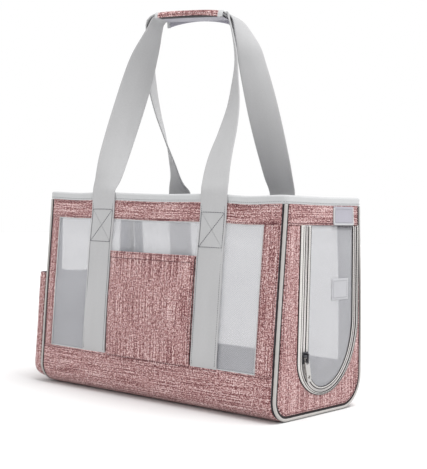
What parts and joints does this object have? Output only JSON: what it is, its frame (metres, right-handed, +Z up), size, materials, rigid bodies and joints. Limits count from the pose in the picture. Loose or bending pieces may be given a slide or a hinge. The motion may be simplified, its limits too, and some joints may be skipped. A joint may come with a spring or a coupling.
{
  "type": "pet carrier bag",
  "caption": "Soft-sided pet carrier tote with mesh windows, zipped mesh end door, pockets, stiffened rim and webbing handles joined by a padded grip.",
  "frame": {"origin": "middle of the flat base that the bag stands on", "axes": "+X along the front towards the zipped end door, -Y out of the front face with the pocket, +Z up"},
  "size_m": [0.4544, 0.2048, 0.537],
  "materials": {
    "woven_fabric": "melange linen-look weave, dusty pink",
    "lining_fabric": "smooth blue-grey woven lining",
    "mesh": "fine see-through mesh",
    "webbing": "light grey polyester webbing",
    "binding": "light grey edge binding and piping",
    "zip_chain": "nylon coil zip",
    "zip_metal": "plated zip slider and pull",
    "hook_and_loop": "pale grey hook-and-loop tape",
    "stiffener": "hidden plastic strip and base board",
    "mat_fabric": "padded pet mat"
  },
  "bodies": {
    "bag_shell": {"back_left_leg": "webbing", "back_left_strap": "webbing", "back_left_strip": "woven_fabric", "back_lower_band": "woven_fabric", "back_lower_lining": "lining_fabric", "back_right_leg": "webbing", "back_right_strap": "webbing", "back_right_strip": "woven_fabric", "back_top_band": "woven_fabric", "back_top_lining": "lining_fabric", "back_window": "mesh", "base_board": "stiffener", "bottom_panel": "woven_fabric", "door_frame_binding": "binding", "door_frame_teeth": "zip_chain", "floor_lining": "lining_fabric", "front_left_leg": "webbing", "front_left_strap": "webbing", "front_left_strip": "woven_fabric", "front_lower_band": "woven_fabric", "front_lower_lining": "lining_fabric", "front_pocket": "woven_fabric", "front_right_leg": "webbing", "front_right_strap": "webbing", "front_right_strip": "woven_fabric", "front_top_band": "woven_fabric", "front_top_lining": "lining_fabric", "front_window": "mesh", "left_end_lining": "lining_fabric", "left_end_panel": "woven_fabric", "left_piping": "binding", "left_pocket": "woven_fabric", "left_window": "mesh", "right_end_lining": "lining_fabric", "right_end_panel": "woven_fabric", "right_piping": "binding", "rim_binding": "binding", "rim_stiffener": "stiffener"},
    "door_flap": {"door_mesh": "mesh", "door_binding": "binding", "door_teeth": "zip_chain", "door_loop_patch": "hook_and_loop"},
    "zip_slider": {"slider_body": "zip_metal"},
    "zip_pull": {"slider_pull": "zip_metal"},
    "closing_tab": {"hook_tab": "hook_and_loop"},
    "grip": {"grip_pad": "woven_fabric", "grip_front_web": "webbing", "grip_back_web": "webbing"},
    "front_flap": {"grip_front_flap": "woven_fabric"},
    "back_flap": {"grip_back_flap": "woven_fabric"},
    "pet_mat": {"mat": "mat_fabric"}
  },
  "joints": [
    {"name": "door_lift", "type": "hinge", "parent": "bag_shell", "child": "door_flap", "pos_m": [0.2155, 0, 0.2427], "axis": [0, -1, 0], "range_deg": [0, 110]},
    {"name": "zip_slide", "type": "slide", "parent": "door_flap", "child": "zip_slider", "axis": [0, 0, 1], "range_m": [0, 0.125]},
    {"name": "pull_swing", "type": "hinge", "parent": "zip_slider", "child": "zip_pull", "pos_m": [0.2192, -0.0396, 0.077], "axis": [0, -1, 0], "range_deg": [0, 135]},
    {"name": "tab_lift", "type": "hinge", "parent": "bag_shell", "child": "closing_tab", "pos_m": [0.2163, 0.041, 0.2678], "axis": [0, -1, 0], "range_deg": [0, 150]},
    {"name": "grip_drop", "type": "slide", "parent": "bag_shell", "child": "grip", "axis": [0, 0, -1], "range_m": [0, 0.13], "deforming": ["front_left_leg", "front_right_leg", "back_left_leg", "back_right_leg"]},
    {"name": "front_flap_open", "type": "hinge", "parent": "grip", "child": "front_flap", "pos_m": [-0.00731, -0.02415, 0.5366], "axis": [-0.9397, -0.342, 0], "range_deg": [0, 90]},
    {"name": "back_flap_open", "type": "hinge", "parent": "grip", "child": "back_flap", "pos_m": [-0.02489, 0.02415, 0.5366], "axis": [0.9397, 0.342, 0], "range_deg": [0, 90]},
    {"name": "mat_lift", "type": "slide", "parent": "bag_shell", "child": "pet_mat", "axis": [0, 0, 1], "range_m": [0, 0.275]}
  ]
}
